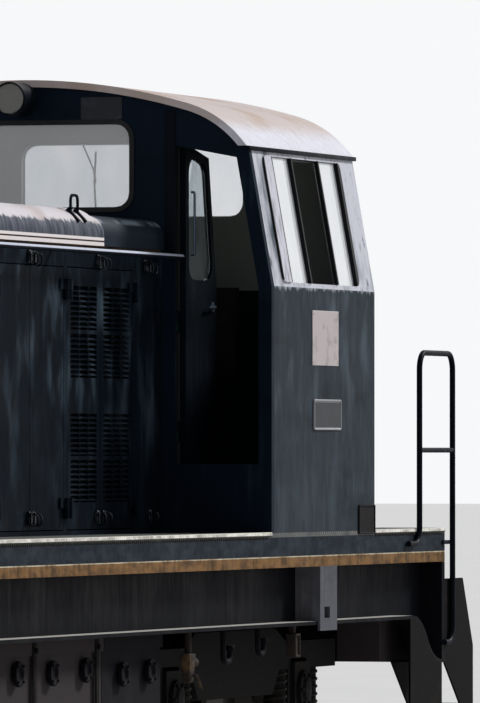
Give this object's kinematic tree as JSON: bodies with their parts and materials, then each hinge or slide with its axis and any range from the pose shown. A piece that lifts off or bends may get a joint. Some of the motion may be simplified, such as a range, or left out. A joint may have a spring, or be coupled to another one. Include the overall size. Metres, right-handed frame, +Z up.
{
  "type": "diesel locomotive",
  "caption": "Diesel-electric road switcher with a long louvred hood, a raised cab near one end, end platforms with handrail hoops, buffers and powered bogies.",
  "frame": {"origin": "middle of the length and width, level with the bottom of the wheel flanges", "axes": "+X towards the end that the cab is near, +Z up, +Y to the left side"},
  "size_m": [14.74, 3.0186, 4.0628],
  "materials": {
    "teal_paint": "faded satin paint",
    "roof_paint": "sun-bleached paint",
    "underframe_paint": "faded paint",
    "bracket_paint": "light grey paint",
    "deck_plate": "chequered steel plate",
    "black_paint": "black paint",
    "box_paint": "rusty brown paint",
    "wheel_steel": "worn steel",
    "grille_paint": "dull paint",
    "glass": "clear glass",
    "machine_metal": "dull metal",
    "seat_vinyl": "vinyl",
    "lamp_glass": "lens glass",
    "buffer_steel": "greasy steel",
    "bogie_grime": "grimy black paint",
    "cab_lining": "inside paint"
  },
  "bodies": {
    "chassis": {"side_sills": "underframe_paint", "headstocks": "underframe_paint", "keel_beams": "underframe_paint", "cross_members": "underframe_paint", "bolsters": "underframe_paint", "jacking_brackets": "bracket_paint", "deck": "deck_plate", "fuel_tank": "box_paint", "battery_box": "box_paint", "sandboxes": "box_paint", "buffers": "buffer_steel", "draw_hooks": "buffer_steel", "end_steps": "black_paint", "end_handrails": "black_paint", "hood_handrails": "black_paint", "hood_side_right": "teal_paint", "hood_side_left": "teal_paint", "hood_end_walls": "teal_paint", "window_frames": "black_paint", "hood_roof": "roof_paint", "radiator_grilles": "grille_paint", "radiator_cores": "machine_metal", "fan_guard": "black_paint", "exhaust_stack": "machine_metal", "engine": "machine_metal", "short_hood": "teal_paint", "cab_side_right": "teal_paint", "cab_side_left": "teal_paint", "cab_wall_hood_end": "teal_paint", "cab_wall_far_end": "teal_paint", "cab_roof": "roof_paint", "cab_floor": "cab_lining", "cab_glass": "glass", "driver_desk": "cab_lining", "driver_seats": "seat_vinyl", "lamp_housings": "black_paint", "lamp_lenses": "lamp_glass"},
    "fan": {"fan": "machine_metal"},
    "cab_door_right": {"cab_door_right": "teal_paint", "cab_door_right_glass": "glass"},
    "cab_door_left": {"cab_door_left": "teal_paint", "cab_door_left_glass": "glass"},
    "hood_door_right_1a": {"hood_door_right_1a": "teal_paint"},
    "hood_door_left_1a": {"hood_door_left_1a": "teal_paint"},
    "hood_door_right_1b": {"hood_door_right_1b": "teal_paint"},
    "hood_door_left_1b": {"hood_door_left_1b": "teal_paint"},
    "hood_door_right_2a": {"hood_door_right_2a": "teal_paint"},
    "hood_door_left_2a": {"hood_door_left_2a": "teal_paint"},
    "hood_door_right_2b": {"hood_door_right_2b": "teal_paint"},
    "hood_door_left_2b": {"hood_door_left_2b": "teal_paint"},
    "bogie_front": {"bogie_frame_front": "bogie_grime", "axleboxes_front": "bogie_grime", "motors_front": "bogie_grime"},
    "wheelset_front_leading": {"wheelset_front_leading": "wheel_steel"},
    "wheelset_front_trailing": {"wheelset_front_trailing": "wheel_steel"},
    "bogie_rear": {"bogie_frame_rear": "bogie_grime", "axleboxes_rear": "bogie_grime", "motors_rear": "bogie_grime"},
    "wheelset_rear_leading": {"wheelset_rear_leading": "wheel_steel"},
    "wheelset_rear_trailing": {"wheelset_rear_trailing": "wheel_steel"}
  },
  "joints": [
    {"name": "cab_door_right_hinge", "type": "hinge", "parent": "chassis", "child": "cab_door_right", "pos_m": [3.349, -0.89, 1.87], "axis": [0, 0, 1], "range_deg": [-88, 0]},
    {"name": "cab_door_left_hinge", "type": "hinge", "parent": "chassis", "child": "cab_door_left", "pos_m": [5.221, 0.89, 1.87], "axis": [0, 0, 1], "range_deg": [0, 88]},
    {"name": "fan_spin", "type": "hinge", "parent": "chassis", "child": "fan", "pos_m": [-4.43, 0, 3.2], "axis": [0, 0, 1], "continuous": true},
    {"name": "hood_door_right_1a_hinge", "type": "hinge", "parent": "chassis", "child": "hood_door_right_1a", "pos_m": [2.75, -0.844, 1.65], "axis": [0, 0, 1], "range_deg": [0, 90]},
    {"name": "hood_door_left_1a_hinge", "type": "hinge", "parent": "chassis", "child": "hood_door_left_1a", "pos_m": [2.75, 0.844, 1.65], "axis": [0, 0, -1], "range_deg": [0, 90]},
    {"name": "hood_door_right_1b_hinge", "type": "hinge", "parent": "chassis", "child": "hood_door_right_1b", "pos_m": [1.61, -0.844, 1.65], "axis": [0, 0, -1], "range_deg": [0, 90]},
    {"name": "hood_door_left_1b_hinge", "type": "hinge", "parent": "chassis", "child": "hood_door_left_1b", "pos_m": [1.61, 0.844, 1.65], "axis": [0, 0, 1], "range_deg": [0, 90]},
    {"name": "hood_door_right_2a_hinge", "type": "hinge", "parent": "chassis", "child": "hood_door_right_2a", "pos_m": [1.55, -0.844, 1.65], "axis": [0, 0, 1], "range_deg": [0, 90]},
    {"name": "hood_door_left_2a_hinge", "type": "hinge", "parent": "chassis", "child": "hood_door_left_2a", "pos_m": [1.55, 0.844, 1.65], "axis": [0, 0, -1], "range_deg": [0, 90]},
    {"name": "hood_door_right_2b_hinge", "type": "hinge", "parent": "chassis", "child": "hood_door_right_2b", "pos_m": [0.41, -0.844, 1.65], "axis": [0, 0, -1], "range_deg": [0, 90]},
    {"name": "hood_door_left_2b_hinge", "type": "hinge", "parent": "chassis", "child": "hood_door_left_2b", "pos_m": [0.41, 0.844, 1.65], "axis": [0, 0, 1], "range_deg": [0, 90]},
    {"name": "bogie_front_pivot", "type": "hinge", "parent": "chassis", "child": "bogie_front", "pos_m": [-3.8, 0, 0.77], "axis": [0, 0, 1], "range_deg": [-4, 4]},
    {"name": "wheelset_front_leading_spin", "type": "hinge", "parent": "bogie_front", "child": "wheelset_front_leading", "pos_m": [-5, 0, 0.578], "axis": [0, 1, 0], "continuous": true},
    {"name": "wheelset_front_trailing_spin", "type": "hinge", "parent": "bogie_front", "child": "wheelset_front_trailing", "pos_m": [-2.6, 0, 0.578], "axis": [0, 1, 0], "continuous": true},
    {"name": "bogie_rear_pivot", "type": "hinge", "parent": "chassis", "child": "bogie_rear", "pos_m": [3.8, 0, 0.77], "axis": [0, 0, 1], "range_deg": [-4, 4]},
    {"name": "wheelset_rear_leading_spin", "type": "hinge", "parent": "bogie_rear", "child": "wheelset_rear_leading", "pos_m": [2.6, 0, 0.578], "axis": [0, 1, 0], "continuous": true},
    {"name": "wheelset_rear_trailing_spin", "type": "hinge", "parent": "bogie_rear", "child": "wheelset_rear_trailing", "pos_m": [5, 0, 0.578], "axis": [0, 1, 0], "continuous": true}
  ]
}
